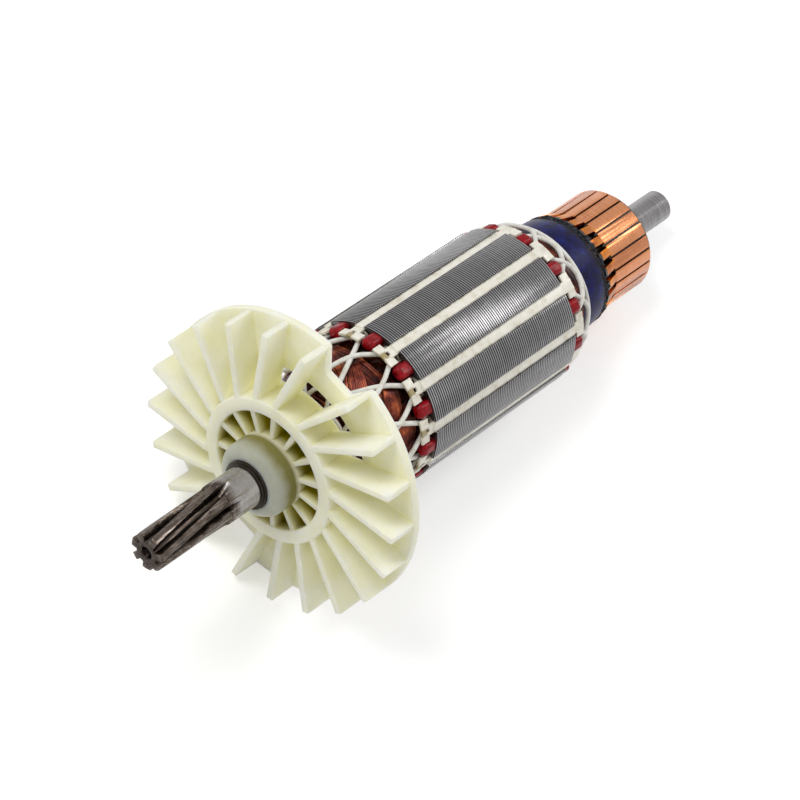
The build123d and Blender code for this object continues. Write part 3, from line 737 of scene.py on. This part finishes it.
# Cord and wire on the winding's front face, behind the fan: a leg's line is its stations and radii
NOSE_LEG_LINE = ((-19.75, 8.5), (-19.75, 10.6), (-19.6, 12.2), (-18.5, 13.7), (-17.3, 14.8))
NOSE_LEG_LEANS = (-4.0, 5.0)
NOSE_LEG_LIFT = 0.35
NOSE_CORD_RADIUS = 0.5
NOSE_CORD_SIDES = 8
NOSE_RING_STATION = -19.9
NOSE_RING_RADIUS = 11.6
NOSE_RING_WAVE = 0.35
NOSE_RING_WAVES = 6
NOSE_STEP = 6
NOSE_WIRE_STATION = -19.2
NOSE_WIRE_COUNT = 90
NOSE_WIRE_STEPS = 12
NOSE_WIRE_RADII = (6.9, 12.2)
NOSE_WIRE_DRIFT = 0.6


def nose_cords():
    """A ring of cord, and legs, of which every second one is higher and leans the other way."""
    routes = []
    for index in range(2 * SLOT_COUNT):
        turn = FIRST_SLOT + SLOT_PITCH * (index + 0.5) / 2
        upper = index % 2
        leg = []
        for step, (station, radius) in enumerate(NOSE_LEG_LINE):
            leg.append(spot(station - NOSE_LEG_LIFT * upper, radius, turn + NOSE_LEG_LEANS[upper] * step))
        routes.append(leg)
    ring = []
    for turn in range(0, 360 + NOSE_STEP, NOSE_STEP):
        wave = NOSE_RING_WAVE * math.sin(math.radians(NOSE_RING_WAVES * turn))
        ring.append(spot(NOSE_RING_STATION, NOSE_RING_RADIUS + wave, turn))
    routes.append(ring)
    tubes("nose_cords", routes, NOSE_CORD_RADIUS, CORD, sides=NOSE_CORD_SIDES)


def nose_wires():
    """Arcs of wire on the front face, each drifting a little inward or outward."""
    draw = random.Random(21)
    arcs = []
    for number in range(NOSE_WIRE_COUNT):
        start = draw.uniform(0, 360)
        inner = draw.uniform(*NOSE_WIRE_RADII)
        drift = draw.uniform(-NOSE_WIRE_DRIFT, NOSE_WIRE_DRIFT)
        arc = []
        for step in range(NOSE_WIRE_STEPS + 1):
            radius = inner + drift * step / NOSE_WIRE_STEPS
            arc.append(spot(NOSE_WIRE_STATION, radius, start + NOSE_STEP * step))
        arcs.append(arc)
    tubes("nose_wires", arcs, WIRE_RADIUS, WIRE)


nose_cords()
nose_wires()

# Leads from the wrap to the commutator's hooks, one on each side of a hook. After a lead's start, its line
# gives each point's station, its height over the lead's low radius, and the shares of half angle and swing.
LEAD_RADIUS = 0.42
LEAD_HALF_ANGLE = 1.6
LEAD_SWING = 3.0
LEAD_START_STATION = 68.5
LEAD_START_RADIUS = 13.6
LEAD_START_SPREAD = 2.0
LEAD_LOW_RADII = (12.6, 13.4)
LEAD_LINE = ((70.0, 0.7, 1.6, 0.6), (71.2, 0.0, 1.2, 0.0), (72.6, -0.2, 1.0, 0.0), (73.6, -0.5, 0.8, 0.0))


def hook_leads():
    """Leads that come out of the wrap, dip at its edge and end low beside the hooks."""
    draw = random.Random(8)
    leads = []
    for bar in range(BAR_COUNT):
        turn = FIRST_SLOT + BAR_PITCH * bar
        for side in (-LEAD_HALF_ANGLE, LEAD_HALF_ANGLE):
            swing = draw.uniform(-LEAD_SWING, LEAD_SWING)
            low = draw.uniform(*LEAD_LOW_RADII)
            lead = [spot(LEAD_START_STATION, LEAD_START_RADIUS, turn + side * LEAD_START_SPREAD + swing)]
            for station, height, side_share, swing_share in LEAD_LINE:
                lead.append(spot(station, low + height, turn + side * side_share + swing * swing_share))
            leads.append(lead)
    # The leads are in the deep shade copy of the copper: painted shade.
    tubes("hook_leads", leads, LEAD_RADIUS, WIRE_DEEP_SHADE)


hook_leads()

# Varnish ring: a closed ring whose section runs up over the hooks' feet and back along its own floor.
# Lumps and a finer grain raise it, and move its ragged edges along the shaft; all in mm.
VARNISH_ROWS = 26
VARNISH_COLUMNS = 288
VARNISH_FRONT = 68.6
VARNISH_REAR = 72.2
VARNISH_BASE_RADIUS = 13.3
VARNISH_LEAST_RADIUS = 12.9
VARNISH_HEIGHT = 0.8
LUMP_HEIGHT = 0.45
FINE_HEIGHT = 0.4
RIDGE_HEIGHT = 0.25
FRONT_LUMP, FRONT_FINE = 1.6, 1.2
REAR_LUMP, REAR_FINE = 1.3, -1.9
LUMP_RATE = 9
FINE_RATE = 34


def varnish_ring():
    """Black varnish that was brushed over the leads and hooks, lumpy and ragged at its edges."""
    vertices = []
    faces = []
    for row in range(VARNISH_ROWS):
        share = row / (VARNISH_ROWS - 1)
        crown = math.sin(math.pi * share) ** 0.5
        for column in range(VARNISH_COLUMNS):
            turn = 360 * column / VARNISH_COLUMNS
            x = math.cos(math.radians(turn))
            y = math.sin(math.radians(turn))
            lump = noise.noise(Vector((x * LUMP_RATE, y * LUMP_RATE, share * 3)))
            fine = noise.noise(Vector((x * FINE_RATE, y * FINE_RATE, share * 9)))
            ridge = math.cos(math.radians((turn - FIRST_SLOT) * BAR_COUNT))
            height = VARNISH_HEIGHT + LUMP_HEIGHT * lump + FINE_HEIGHT * fine + RIDGE_HEIGHT * ridge
            radius = max(VARNISH_BASE_RADIUS + crown * height, VARNISH_LEAST_RADIUS)
            front = VARNISH_FRONT + FRONT_LUMP * lump + FRONT_FINE * fine
            rear = VARNISH_REAR + REAR_LUMP * lump + REAR_FINE * fine
            vertices.append(spot(front + (rear - front) * share, radius, turn))
    for row in range(VARNISH_ROWS):
        low = row * VARNISH_COLUMNS
        high = (row + 1) % VARNISH_ROWS * VARNISH_COLUMNS
        for column in range(VARNISH_COLUMNS):
            right = (column + 1) % VARNISH_COLUMNS
            faces.append((low + column, low + right, high + right, high + column))
    mesh = smooth_mesh("hook_varnish", vertices, faces)
    mesh.materials.append(VARNISH)
    piece = add_piece("hook_varnish", mesh)


varnish_ring()

# Bevels on the edges of CAD solids: widths in mm, angles in degrees
EDGE_WIDTHS = {
    "shaft": 0.12,
    "fan": 0.22,
    "lamination_stack": 0.1,
    "front_end_insulator": 0.35,
    "rear_end_insulator": 0.35,
    "commutator_core": 0.15,
}
WEDGE_EDGE_WIDTH = 0.08
BAR_EDGE_WIDTH = 0.1
EDGE_ANGLE = 32.0
FLAT_ANGLE = 0.6
MERGE_DISTANCE = 0.002


def softened(name, width):
    """Stands for a CAD solid with the same form and small bevels on its edges."""
    mesh = nodes[name].data.copy()
    made = bmesh.new()
    made.from_mesh(mesh)
    bmesh.ops.remove_doubles(made, verts=made.verts, dist=MERGE_DISTANCE * MM)
    bmesh.ops.dissolve_limit(made, angle_limit=math.radians(FLAT_ANGLE), verts=made.verts, edges=made.edges)
    made.to_mesh(mesh)
    made.free()
    mesh.shade_smooth()
    piece = add_piece(name + "_finished", mesh)
    bevel = piece.modifiers.new("edges", "BEVEL")
    bevel.width = width * MM
    bevel.segments = 2
    bevel.limit_method = "ANGLE"
    bevel.angle_limit = math.radians(EDGE_ANGLE)
    bevel.harden_normals = True
    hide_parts(name)


for name, width in EDGE_WIDTHS.items():
    softened(name, width)
for number in range(SLOT_COUNT):
    softened(f"slot_wedge_{number + 1:02d}", WEDGE_EDGE_WIDTH)
for number in range(BAR_COUNT):
    softened(f"commutator_bar_{number + 1:02d}", BAR_EDGE_WIDTH)

# Floor, light and camera, in metres and watts
AIM = (cad_box[0] + cad_box[1]) / 2
FLOOR_HALF_SIZE = 3.0
FLOOR_COLOUR = (0.93, 0.93, 0.93)
FLOOR_GLOW = 0.35
WORLD_STRENGTH = 0.42


def backdrop():
    """Pale floor that reads as white to the camera and keeps the object's soft shadow."""
    half = FLOOR_HALF_SIZE
    corners = [(-half, -half, 0), (half, -half, 0), (half, half, 0), (-half, half, 0)]
    mesh = bpy.data.meshes.new("floor")
    mesh.from_pydata(corners, [], [(0, 1, 2, 3)])
    floor = bpy.data.objects.new("floor", mesh)
    bpy.context.scene.collection.objects.link(floor)
    tree = material_tree("floor")
    material = tree.finish(
        Base_Color=FLOOR_COLOUR,
        Roughness=0.9,
        Emission_Color=(1.0, 1.0, 1.0),
        Emission_Strength=tree.math("MULTIPLY", tree.seen(), FLOOR_GLOW),
    )
    mesh.materials.append(material)


def world_light(strength):
    """Even white surroundings, pure white behind the object and in its reflections."""
    world = bpy.data.worlds.new("studio")
    bpy.context.scene.world = world
    tree = Tree(world)
    background = tree.nodes["Background"]
    tree.feed(background, "Strength", tree.span(tree.seen(), 0.0, 1.0, strength, 1.0))
    tree.feed(background, "Color", (1, 1, 1))


def lamp(name, direction, distance, size, power, length=None):
    """Soft area lamp that looks at the object from a direction: round, or a strip if it has a length."""
    data = bpy.data.lights.new(name, "AREA")
    data.shape = "RECTANGLE" if length else "DISK"
    data.size = size
    data.size_y = length or size
    data.energy = power
    made = bpy.data.objects.new(name, data)
    made.location = AIM + Vector(direction).normalized() * distance
    made.rotation_mode = "QUATERNION"
    made.rotation_quaternion = (AIM - made.location).to_track_quat("-Z", "Y")
    bpy.context.scene.collection.objects.link(made)


backdrop()
world_light(WORLD_STRENGTH)
lamp("key", direction=(-0.35, 0.5, 1.0), distance=0.9, size=0.45, power=3.5)
lamp("fill", direction=(0.2, -1.0, 0.7), distance=1.0, size=0.8, power=0.8)
lamp("sheen", direction=(0.77, -0.14, 0.62), distance=0.9, size=0.26, power=2.4, length=0.5)

# Camera, fitted to the photograph: its place in mm and its directions are in the shaft's frame
CAMERA_STATION = -531.5
CAMERA_UP = 657.2
CAMERA_SIDE = 155.6
FOCAL_LENGTH = 170.1
SENSOR_WIDTH = 36.0
RIGHT_IN_SHAFT = Vector((0.3746, 0.6662, 0.6445))
DOWN_IN_SHAFT = Vector((-0.5293, 0.7243, -0.4414))


def photo_camera():
    """Camera at the photograph's viewpoint."""
    data = bpy.data.cameras.new("camera")
    data.sensor_width = SENSOR_WIDTH
    data.lens = FOCAL_LENGTH
    data.clip_start = 0.01
    data.clip_end = 10.0
    camera = bpy.data.objects.new("camera", data)
    bpy.context.scene.collection.objects.link(camera)
    bpy.context.scene.camera = camera
    right = (SHAFT_FRAME @ RIGHT_IN_SHAFT).normalized()
    up = -(SHAFT_FRAME @ DOWN_IN_SHAFT).normalized()
    turned = Matrix((right, up, right.cross(up))).transposed().to_4x4()
    eye = ORIGIN + (UP * CAMERA_UP + SIDE * CAMERA_SIDE + REAR * CAMERA_STATION) * MM
    camera.matrix_world = Matrix.Translation(eye) @ turned


photo_camera()

bpy.context.scene.view_settings.view_transform = "Standard"
